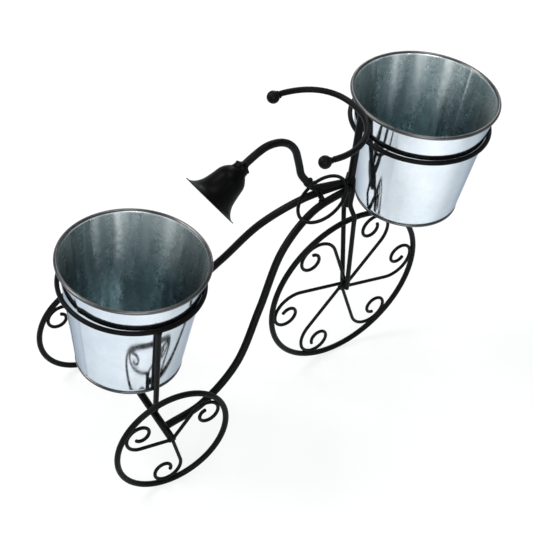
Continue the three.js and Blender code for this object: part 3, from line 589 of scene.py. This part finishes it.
def ring_post(side):
    """From the axle, past the crimped foot of the pot, to the underside of the ring."""
    angle = math.asin(RING_POST_BACK / REAR_RING_RADIUS)
    head = Vector((REAR_RING_X - REAR_RING_RADIUS * math.sin(angle), REAR_RING_RADIUS * math.cos(angle),
                   REAR_RING_Z - RING_ROD / 2 - GAP))
    foot = Vector((AXLE_X + RING_POST_FOOT_AHEAD, 0, AXLE_Z + AXLE_ROD / 2 + GAP))
    crimp_z = REAR_RIM_Z - POT_HEIGHT + POT_CRIMP / 2
    beside = POT_BASE_RADIUS + POT_CRIMP / 4 + RING_POST_CLEAR_OF_POT + RING_POST_ROD / 2
    foot.y = head.y - (head.y - beside) * (head.z - foot.z) / (head.z - crimp_z)
    tilt = RING_POST_ROD / 2 * math.hypot(head.x - foot.x, head.y - foot.y) / (head.z - foot.z)
    return (Vector((foot.x, side * foot.y, foot.z + tilt)), Vector((head.x, side * head.y, head.z - tilt)))


RING_POSTS = {side: ring_post(side) for side, _ in SIDES}
for side, word in SIDES:
    rod(f"{word}_ring_upright", RING_POSTS[side], RING_POST_ROD, [f"{word}_ring_post"])


# Fork: each leg lies beside the post, parts below it and closes again on the hub

FORK_LAP, FORK_KINK_DROP, FORK_KINK_AHEAD, FORK_KINK_HALF = 38, 48.5, 5, 10
FORK_TIP_AHEAD, FORK_TIP_DROP = 1.4, 3.2
FORK_UPPER_SHARES, FORK_LOWER_SHARES = (0, 0.4, 0.69), (0, 0.07, 0.5, 0.93, 1)
FORK_TAPER_SHARE, FORK_TAPER_LENGTH = 0.4, 15


def fork_route(side):
    top = Vector((POST_X, side * ((POST_ROD + FORK_ROD) / 2 + GAP), POST_FOOT_Z + FORK_LAP))
    kink = Vector((POST_X + FORK_KINK_AHEAD, side * FORK_KINK_HALF, top.z - FORK_KINK_DROP))
    tip = Vector((HUB_X + FORK_TIP_AHEAD, side * ((SCROLL_ROD + FORK_ROD) / 2 + GAP), HUB_Z - FORK_TIP_DROP))
    points = [Vector((top.x, top.y, lerp(top.z, kink.z, share))) for share in FORK_UPPER_SHARES]
    return through(points + [kink.lerp(tip, share) for share in FORK_LOWER_SHARES], 10)


def fork_radii(route):
    """The leg's upper end is hammered thinner where it lies along the post."""
    return [FORK_ROD / 2 * MM * lerp(FORK_TAPER_SHARE, 1, min(1, (route[0].z - p.z) / FORK_TAPER_LENGTH))
            for p in route]


FORKS = {side: fork_route(side) for side, _ in SIDES}
for side, word in SIDES:
    rod(f"{word}_fork_rod", FORKS[side], FORK_ROD, [f"{word}_fork_leg"], radii=fork_radii(FORKS[side]))


# Wheels

# A scroll: start, side, wide and tight bend as shares of its length; power; turn in degrees
REAR_SCROLL = (0.045, 0.0, 0.528, 0.192, 1.48, 410.9)
FRONT_SCROLL = (0.085, 0.047, 0.5, 0.149, 2.76, 430.9)
REAR_SCROLL_DEGREES = {"right": [175, 55, -72], "left": [7, 127, -113]}
FRONT_SCROLL_DEGREES = [169.2, 112.6, 49.7, -10.8, -67.4, -130.3]
STRAIGHT_SHARES = (0.25, 0.5, 0.75)
CURL_STEPS, RIM_STEPS = 96, 160


def scroll_shape(start, side, wide, tight, power, turn, reach):
    """Stations of a scroll in its plane: a straight run, then a curl that tightens as it turns."""
    x, y = 1.0, -side
    stations = [(start, y)] + [(lerp(start, 1, share), y) for share in STRAIGHT_SHARES] + [(x, y)]
    total = math.radians(turn)
    step = total / CURL_STEPS
    for i in range(CURL_STEPS):
        share = (i + 0.5) / CURL_STEPS
        bend = tight + (wide - tight) * (1 - share) ** power
        x += 2 * bend * math.sin(step / 2) * math.cos(share * total)
        y += 2 * bend * math.sin(step / 2) * math.sin(share * total)
        stations.append((x, y))
    far = max(math.hypot(*s) for s in stations)
    return [(sx * reach / far, sy * reach / far) for sx, sy in stations]


def add_wheel(name, x, y, diameter, scroll, scroll_degrees, curl, yaw=0.0):
    """Makes a rim and its scrolls, and returns the places where they touch. The rim is drawn smaller
    and a rear wheel stands further in by the film of paint, to stay within the solids' box."""
    radius = (diameter - RIM_ROD) / 2
    inward = y - math.copysign(COAT, y) if y else 0
    place = Matrix.Translation(Vector((x, inward, diameter / 2)) * MM) @ Matrix.Rotation(yaw, 4, "Z")
    upright = place @ Matrix.Rotation(math.pi / 2, 4, "X")
    rod(f"{name}_rim_wire", round_points(radius - COAT, radius - COAT, full_turn(RIM_STEPS)), RIM_ROD,
        [f"{name}_rim"], True, upright)
    shape = scroll_shape(*scroll, radius - RIM_ROD / 2 - GAP - SCROLL_ROD / 2)
    touches = []
    for number, degrees in enumerate(scroll_degrees, 1):
        a = math.radians(degrees)
        route = [(sx * math.cos(a) - curl * sy * math.sin(a), 0, sx * math.sin(a) + curl * sy * math.cos(a))
                 for sx, sy in shape]
        rod(f"{name}_scroll_wire_{number}", route, SCROLL_ROD, [f"{name}_scroll_{number}"], place=place,
            sides=16)
        far = max(route, key=lambda p: math.hypot(p[0], p[2]))
        touches.append(place @ (Vector(far).normalized() * (radius - RIM_ROD / 2) * MM))
    return touches


TOUCHES = {}
for side, word in reversed(SIDES):
    TOUCHES[word] = add_wheel(f"{word}_wheel", AXLE_X, side * WHEEL_Y, REAR_WHEEL, REAR_SCROLL,
                              REAR_SCROLL_DEGREES[word], side)
TOUCHES["front"] = add_wheel("front_wheel", HUB_X, 0, FRONT_WHEEL, FRONT_SCROLL, FRONT_SCROLL_DEGREES, 1,
                             WHEEL_YAW)


# Handlebar

BAR_BEND, GRIP, BAR_BULGE_SHARE, BAR_STEPS = 55.3, 1.6, 0.045, 80
TOE_IN = math.radians(1.6)
BAR_TURN = Euler((0, math.radians(-3.4), math.radians(-4.1)), "XYZ")
BAR_FRONT = Vector((FRONT_POT_X - POT_RIM_RADIUS - GAP - BAR_ROD / 2, 0,
                    POST_TOP_Z + GAP + BAR_ROD / 2 - COAT))
BAR_PLACE = Matrix.Translation(BAR_FRONT * MM) @ BAR_TURN.to_matrix().to_4x4()
QUARTER = math.pi / 2


def bar_point(angle):
    """The bend bulges a little on the left, between its front and the grip."""
    bulge = BAR_BEND * BAR_BULGE_SHARE * math.sin(2 * angle) ** 2 if 0 < angle < QUARTER else 0
    return Vector(((BAR_BEND + bulge) * math.cos(angle) - BAR_BEND, (BAR_BEND + bulge) * math.sin(angle), 0))


def grip_heading(side):
    return Vector((-math.cos(TOE_IN), -side * math.sin(TOE_IN), 0))


def grip_point(side, along):
    return bar_point(side * (QUARTER + TOE_IN)) + grip_heading(side) * along


rod("handlebar_rod", [grip_point(-1, GRIP)]
    + [bar_point(share * (QUARTER + TOE_IN)) for share in even(-1, 1, BAR_STEPS)] + [grip_point(1, GRIP)],
    BAR_ROD, ["handlebar"], place=BAR_PLACE)


# Grip balls: a ball with a plain neck. Both hang a little, and the left one sits nearer its grip.

BALL, BALL_NECK, BALL_NECK_LENGTH = 6.5, 3.0, 2.4
NECK_DEPTH = math.sqrt(BALL ** 2 - BALL_NECK ** 2)
NECK_EDGE, NECK_TOP = 0.5, (0.35, 0.1)
BALL_NEARER, BALL_DROOP = {"left": 1.3, "right": 0}, {"left": 1.7, "right": 0.5}
GRIP_WELD_BACK, GRIP_WELD_RISE = 4.0, 1.6
ball_foot = -NECK_DEPTH - BALL_NECK_LENGTH
ball_start = math.degrees(math.asin(-NECK_DEPTH / BALL)) + 2
BALL_PROFILE = [(0, ball_foot), (BALL_NECK - NECK_EDGE, ball_foot), (BALL_NECK, ball_foot + NECK_EDGE),
                (BALL_NECK, -NECK_DEPTH - NECK_EDGE), (BALL_NECK - NECK_TOP[0], -NECK_DEPTH - NECK_TOP[1])]
BALL_PROFILE += arc(0, 0, BALL, ball_start, 90, 20)[:-1] + [(0, BALL)]
GRIP_WELDS = {}
for side, word in reversed(SIDES):
    along = GRIP + GAP + BALL_NECK_LENGTH + NECK_DEPTH - BALL_NEARER[word]
    droop = Matrix.Translation(Vector((0, 0, -BALL_DROOP[word])) * MM)
    place = droop @ BAR_PLACE @ facing(grip_point(side, along), grip_heading(side))
    turned_piece(f"{word}_ball_end", BALL_PROFILE, 40, place, [f"{word}_grip_ball"], closed=False)
    behind = grip_point(side, along - GRIP_WELD_BACK) + Vector((0, 0, GRIP_WELD_RISE))
    GRIP_WELDS[word] = BAR_PLACE @ (behind * MM) / MM


# Cross bar, stem and ferrule

CROSS_BEHIND_POST, CROSS_PAST_RAIL = {1: 34.6, -1: 38}, 9.5


def rail_seat(side):
    """Where the cross bar's middle passes over a rail."""
    point, tangent = rail_point(side, POST_X - CROSS_BEHIND_POST[side])
    return point + Vector((0, 0, ((RAIL_ROD + CROSS_ROD) / 2 + GAP) / math.hypot(tangent.x, tangent.y)))


cross_near, cross_far = rail_seat(-1), rail_seat(1)
cross_end = cross_far + (cross_far - cross_near).normalized() * CROSS_PAST_RAIL
rod("cross_bar_rod", [cross_near, cross_end], CROSS_ROD, ["cross_bar"])

ARM_YAW, FERRULE_LEAN, BELL_TILT = math.radians(6.2), math.radians(38), math.radians(36.9)
STEM_OVER_RAILS, STEM_CROSS_SHARE, STEM_BEND_SHARES = 7, 0.74, (0.6, 0.6, 0.2)
FERRULE_BEHIND_POST, FERRULE_Y, FERRULE_OVER_STEM = 51.3, 3.1, 11.1
FERRULE_LENGTH, FERRULE_DIAMETER, FERRULE_EDGE, BORE_CLEAR = 5.0, 8.6, 0.8, 0.1
arm_heading = Vector((-math.cos(ARM_YAW), -math.sin(ARM_YAW), 0))
stem_root = Vector((POST_X - POST_ROD / 2 - GAP, 0, RAIL_HEAD_Z + STEM_OVER_RAILS))
stem_start = stem_root - Vector((STEM_ROD / 2, 0, 0))
stem_over = (cross_near.lerp(cross_far, STEM_CROSS_SHARE)
             + Vector((0, 0, (CROSS_ROD + STEM_ROD) / 2 + 2 * GAP)))
ferrule_heading = arm_heading * math.sin(FERRULE_LEAN) + Vector((0, 0, math.cos(FERRULE_LEAN)))
ferrule_top = Vector((POST_X - FERRULE_BEHIND_POST, FERRULE_Y, stem_root.z + FERRULE_OVER_STEM))
ferrule_foot = ferrule_top - ferrule_heading * FERRULE_LENGTH
stem_bend = Vector([lerp(a, b, share) for a, b, share in zip(stem_over, ferrule_foot, STEM_BEND_SHARES)])
rod("lamp_stem_rod", through([stem_root, stem_start, stem_over, stem_bend, ferrule_foot, ferrule_top], 12),
    STEM_ROD, ["lamp_stem"])

ferrule_bore, ferrule_radius = STEM_ROD / 2 + BORE_CLEAR, FERRULE_DIAMETER / 2
turned_piece("arm_ferrule_ring", [
    (ferrule_bore, 0), (ferrule_radius - FERRULE_EDGE, 0), (ferrule_radius, FERRULE_EDGE),
    (ferrule_radius, FERRULE_LENGTH - FERRULE_EDGE), (ferrule_radius - FERRULE_EDGE, FERRULE_LENGTH),
    (ferrule_bore, FERRULE_LENGTH)], 48, facing(ferrule_foot, ferrule_heading), ["arm_ferrule"])


# Lamp arm

# Shares of its run and of its rise at each point
ARM_SHARES = [(0.108, 0.193), (0.155, 0.372), (0.2, 0.544), (0.254, 0.717), (0.353, 0.871),
              (0.478, 0.966), (0.599, 1), (0.708, 0.994), (0.801, 0.953)]
ARM_RUN, ARM_RISE, NECK_RISE, COLLAR_LENGTH = 81.2, 64.3, 51.7, 7.4
arm_foot = ferrule_top + ferrule_heading * GAP
bell_heading = arm_heading * math.cos(BELL_TILT) + Vector((0, 0, -math.sin(BELL_TILT)))


def arm_point(run, rise):
    return arm_foot + arm_heading * run + Vector((0, 0, rise))


bell_neck = arm_point(ARM_RUN, NECK_RISE)
rod("lamp_arm_rod", through([arm_foot] + [arm_point(r * ARM_RUN, h * ARM_RISE) for r, h in ARM_SHARES]
                            + [bell_neck - bell_heading * COLLAR_LENGTH / 2, bell_neck,
                               bell_neck + bell_heading * (COLLAR_LENGTH - GAP)], 8),
    ARM_ROD, ["lamp_arm"], sides=24)


# Bell and its collar

# Shares of the bell's length, from its mouth, and of its mouth's radius
BELL_SHARES = [(0, 1), (0.023, 0.903), (0.072, 0.811), (0.121, 0.751), (0.168, 0.707), (0.263, 0.643),
               (0.361, 0.603), (0.552, 0.552), (0.742, 0.508), (0.84, 0.451), (0.935, 0.357),
               (0.982, 0.29), (1, 0.2)]
BELL_LENGTH, MOUTH, BELL_WALL, FLANGE_RADIUS = 38.8, 29.7, 1.0, 8.0
BELL_SHARP = 60
# Points of the lip by distance out from the mouth's radius, and of the collar by distance out from
# the flange's radius and then from the arm's, each with its height over the mouth or the collar's foot
LIP = [(-0.7, -0.45), (-0.1, -0.5), (0.5, -0.3), (0.7, 0.1), (0.45, 0.45)]
COLLAR = [(1.2, -1.6), (0.3, 0.3), (-0.1, 3.0), (-0.1, 3.4), (0.2, 4.2), (0.2, 5.5), (-0.1, 5.9), (-2.2, 6.9)]
COLLAR_TOP = [(1.0, 7.7), (0.4, 8.8), (0.1, 8.8)]
COLLAR_SINK = 0.25
# The wall's inner face is left out nearer the axis than this, and lower than this at the mouth.
CROWN_RADIUS, MOUTH_EDGE = 3, -0.2

bell_outside = [(p.x, p.z) for p in through([(w * MOUTH, 0, a * BELL_LENGTH) for a, w in BELL_SHARES], 6)]
bell_inside = []
for i, (r, z) in enumerate(bell_outside):
    r0, z0 = bell_outside[max(i - 1, 0)]
    r1, z1 = bell_outside[min(i + 1, len(bell_outside) - 1)]
    length = math.hypot(r1 - r0, z1 - z0)
    inner = (r + (z0 - z1) / length * BELL_WALL, z + (r1 - r0) / length * BELL_WALL)
    if inner[0] > CROWN_RADIUS and inner[1] > MOUTH_EDGE:
        bell_inside.append(inner)
bell_profile = ([(0, BELL_LENGTH - BELL_WALL)] + list(reversed(bell_inside))
                + [(MOUTH + r, z) for r, z in LIP] + bell_outside[1:] + [(0, BELL_LENGTH)])
bell_place = facing(bell_neck + bell_heading * (COLLAR_LENGTH + GAP + BELL_LENGTH), -bell_heading)
turned_piece("bell_skin", bell_profile, 112, bell_place, ["bell_shade"], materials=[BELL_PAINT],
             sharp=BELL_SHARP)

collar_foot, arm_radius = BELL_LENGTH + GAP - COLLAR_SINK, ARM_ROD / 2
collar_profile = ([(arm_radius + BORE_CLEAR, collar_foot)]
                  + [(FLANGE_RADIUS + r, collar_foot + z) for r, z in COLLAR]
                  + [(arm_radius + r, collar_foot + z) for r, z in COLLAR_TOP])
turned_piece("bell_collar_ring", collar_profile, 64, bell_place, ["bell_collar"], materials=[BELL_PAINT])


# Oval ring

OVAL_HALF_LENGTH, OVAL_HALF_WIDTH = 30.8, 20.9
OVAL_CENTRE = Vector((POST_X - 40.1, -10.9, 239.92))
OVAL_TURN = Euler((math.radians(-9.6), math.radians(-20.3), math.radians(25.3)), "XYZ")
rod("oval_ring_wire", round_points(OVAL_HALF_LENGTH, OVAL_HALF_WIDTH, full_turn(RING_STEPS)), OVAL_ROD,
    ["saddle_ring"], True, Matrix.Translation(OVAL_CENTRE * MM) @ OVAL_TURN.to_matrix().to_4x4(), 16)


# Welds

# Scale and strength of the two sizes of lump
WELD_LUMPS = ((1.7, 0.13), (5, 0.05))
RIM_WELD, RIM_WELD_SEED = (4.4, 3.2, 4.4), 20


def weld(name, centre, size, seed):
    """A small lumpy bead of weld metal, painted over; centre in metres, size in millimetres."""
    bm = bmesh.new()
    bmesh.ops.create_icosphere(bm, subdivisions=4, radius=1)
    half = Vector(size) * MM / 2
    shift = Vector((seed * 3.7, seed * 1.9, 0.4))
    for vert in bm.verts:
        lump = 1 + sum(strength * noise.noise(vert.co * scale + shift) for scale, strength in WELD_LUMPS)
        vert.co = centre + Vector((vert.co.x * half.x, vert.co.y * half.y, vert.co.z * half.z)) * lump
    make_object(name, bm, FRAME, [PAINT], sharp=180)


# Name, centre and size of each weld. The right rail's has the left one's place, since RAIL_END is the
# left rail's; the film of paint alone closes the right rail's foot.
axle_top = AXLE_Z + AXLE_ROD / 2
welds = []
for side, word in SIDES:
    foot, head = RING_POSTS[side]
    tip = FORKS[side][-1]
    welds += [
        (f"{word}_ring_weld", (head.x, head.y, REAR_RING_Z - RING_ROD / 2), (6.2, 6.2, 3.4)),
        (f"{word}_upright_weld", (foot.x - 0.6, foot.y - side * 0.4, axle_top + 0.4), (7.2, 7.4, 3.6)),
        (f"{word}_rail_weld", (RAIL_END.x + 0.8, RAIL_END.y, axle_top + 0.5), (7.0, 8.2, 3.8)),
        (f"{word}_rail_post_weld", (RAIL_START.x + 0.5, side * (RAIL_START.y - 0.5), RAIL_START.z),
         (4.4, 7.6, 8.4)),
        (f"{word}_fork_weld", (POST_X, side * 3.9, POST_FOOT_Z + 22), (6.0, 3.2, 30.0)),
        (f"{word}_fork_top_weld", (POST_X, side * 4.3, POST_FOOT_Z + 34), (5.0, 3.6, 12.0)),
        (f"{word}_hub_weld", (tip.x - 1.2, tip.y - side * 2.2, tip.z + 2.6), (7.4, 4.0, 8.4)),
        (f"{word}_axle_end_weld", (AXLE_X, side * (AXLE_HALF + 0.2), AXLE_Z), (10.0, 4.4, 10.0))]
welds += [(f"front_ring_{word}_weld", (POST_X + POST_ROD / 2 - 0.6, side * RING_HALF_GAP, FRONT_RING_Z),
           (4.2, 2.6, 4.8)) for side, word in SIDES]
welds += [
    ("front_hub_core_weld", (HUB_X, 0, HUB_Z), (15.0, 3.4, 15.0)),
    ("post_foot_weld", (POST_X + 0.4, 0, POST_FOOT_Z + 1.4), (5.6, 10.0, 6.0)),
    ("ferrule_weld", ferrule_foot + ferrule_heading * 3.2 + Vector((1.1, -1.8, 3.7)), (5.8, 5.6, 6.2)),
    ("handlebar_weld", (POST_X - 1.6, 0, POST_TOP_Z + 0.2), (7.2, 8.2, 3.0)),
    ("stem_post_weld", (POST_X - POST_ROD / 2 - 0.3, 0, stem_root.z), (3.0, 6.8, 6.8)),
    ("stem_bar_weld", (stem_over.x, stem_over.y, stem_over.z - STEM_ROD / 2 - 0.3), (6.2, 6.2, 2.6)),
    ("cross_left_weld", (cross_far.x, cross_far.y, cross_far.z - CROSS_ROD / 2 - 0.2), (6.4, 6.0, 2.6)),
    ("cross_right_weld", (cross_near.x, cross_near.y + 1, cross_near.z - CROSS_ROD / 2 - 0.2),
     (6.4, 6.0, 2.6))]
welds += [(f"{word}_grip_weld", GRIP_WELDS[word], (5.8, 5.2, 4.6)) for _, word in reversed(SIDES)]
for seed, (weld_name, centre, size) in enumerate(welds):
    weld(weld_name, Vector(centre) * MM, size, seed)
for word, touches in TOUCHES.items():
    for index, touch in enumerate(touches):
        weld(f"{word}_rim_weld_{index + 1}", touch, RIM_WELD, RIM_WELD_SEED + index)


# Floor, world, lamps and camera

FLOOR_RADIUS, FLOOR_SEGMENTS = 7, 96
# What the zinc mirrors of the floor is painted darker with distance from a spot near the object, a painted
# pool of light. What the camera sees of it is lifted to white and keeps the object's shadow.
FLOOR_SPOT, FLOOR_COLOUR, FLOOR_SEEN_COLOUR = (0.08, -0.18, 0.0), (0.86, 0.87, 0.88, 1), (0.21, 0.21, 0.21, 1)
FLOOR_MIRRORED_PAINTED_FALLOFF = [(0.12, (0.86, 0.87, 0.88)), (0.30, (0.74, 0.76, 0.79)), (0.55, (0.50, 0.53, 0.57)),
                  (0.9, (0.42, 0.45, 0.49))]
CAMERA_LIFT_REACH, CAMERA_LIFT, GLOSS_LIFT = (0.5, 1.6), (0.80, 0.95), 0.24


def stage_floor():
    bm = bmesh.new()
    bmesh.ops.create_circle(bm, cap_ends=True, segments=FLOOR_SEGMENTS, radius=FLOOR_RADIUS)
    mesh = bpy.data.meshes.new("floor")
    bm.to_mesh(mesh)
    bm.free()
    floor = bpy.data.objects.new("floor", mesh)
    bpy.context.scene.collection.objects.link(floor)
    material, tree, shader = new_material("floor_paper")
    tree.put(shader["Roughness"], 0.9)
    tree.put(shader["Specular IOR Level"], 0.1)
    rays = tree.add("LightPath").outputs
    reach = tree.add("VectorMath", {0: tree.coords(), 1: FLOOR_SPOT}, operation="DISTANCE").outputs["Value"]
    # Painted light: the floor's colour in reflections darkens with distance from the spot, as a pool of light
    # would.
    colour = tree.mix(rays["Is Glossy Ray"], FLOOR_COLOUR, tree.ramp(reach, FLOOR_MIRRORED_PAINTED_FALLOFF))
    tree.put(shader["Base Color"], tree.mix(rays["Is Camera Ray"], colour, FLOOR_SEEN_COLOUR))
    gloss = tree.math("MULTIPLY", rays["Is Glossy Ray"], GLOSS_LIFT)
    seen = tree.span(reach, *CAMERA_LIFT_REACH, *CAMERA_LIFT)
    lift = tree.math("MULTIPLY_ADD", rays["Is Camera Ray"], seen, gloss)
    glow = tree.add("Emission", {"Strength": lift}).outputs["Emission"]
    both = tree.add("AddShader", {0: tree.nodes["Principled BSDF"].outputs["BSDF"], 1: glow})
    tree.put(tree.nodes["Material Output"].inputs["Surface"], both.outputs["Shader"])
    mesh.materials.append(material)


def studio_world():
    """White round the horizon and below, a grey ceiling overhead; the camera sees plain white."""
    world = bpy.data.worlds.new("studio")
    bpy.context.scene.world = world
    tree = Tree(world)
    shade = tree.ramp(tree.xyz(tree.coords("Generated"))["Z"],
                      [(0.0, (0.95, 0.97, 1.0)), (0.12, (0.80, 0.83, 0.86)), (0.45, (0.30, 0.33, 0.35)),
                       (1.0, (0.20, 0.22, 0.24))])
    seen = tree.add("LightPath").outputs["Is Camera Ray"]
    background = tree.nodes["Background"].inputs
    tree.put(background["Color"], tree.mix(seen, shade, (1, 1, 1, 1)))
    tree.put(background["Strength"], 1.0)


def area_light(name, place, target, size, power, colour=(1, 1, 1)):
    light = bpy.data.lights.new(name, "AREA")
    light.shape = "RECTANGLE"
    light.size, light.size_y = size
    light.energy = power
    light.color = colour
    lamp = bpy.data.objects.new(name, light)
    lamp.location = place
    lamp.rotation_euler = (Vector(target) - Vector(place)).to_track_quat("-Z", "Y").to_euler()
    bpy.context.scene.collection.objects.link(lamp)


def photo_camera():
    """The camera solved from the circles in the photograph."""
    data = bpy.data.cameras.new("camera")
    data.sensor_width = 36
    data.lens = 100.47
    data.shift_x, data.shift_y = 0.00874, 0.01056
    data.clip_start, data.clip_end = 0.05, 50
    axes = Matrix(((0.8598682, 0.27270298, -0.43157822),
                   (-0.50151471, 0.60926729, -0.61422827),
                   (0.09544461, 0.74459818, 0.66065412)))
    camera = bpy.data.objects.new("camera", data)
    camera.matrix_world = Matrix.Translation((-0.659803, -0.924295, 1.147980)) @ axes.to_4x4()
    bpy.context.scene.collection.objects.link(camera)
    bpy.context.scene.camera = camera


stage_floor()
studio_world()
area_light("key", (-1.5, 1.1, 2.2), (0, 0, 0.15), (0.9, 0.9), 42, (1.0, 0.99, 0.97))
area_light("fill", (-1.1, -2.0, 1.45), (0, 0, 0.2), (1.3, 0.9), 26, (0.96, 0.98, 1.0))
area_light("top", (0.2, -0.1, 2.6), (0, 0, 0), (1.4, 0.5), 14)
area_light("back", (1.5, 2.0, 1.7), (0, 0, 0.15), (0.5, 1.0), 14)
photo_camera()
bpy.context.scene.view_settings.view_transform = "Standard"
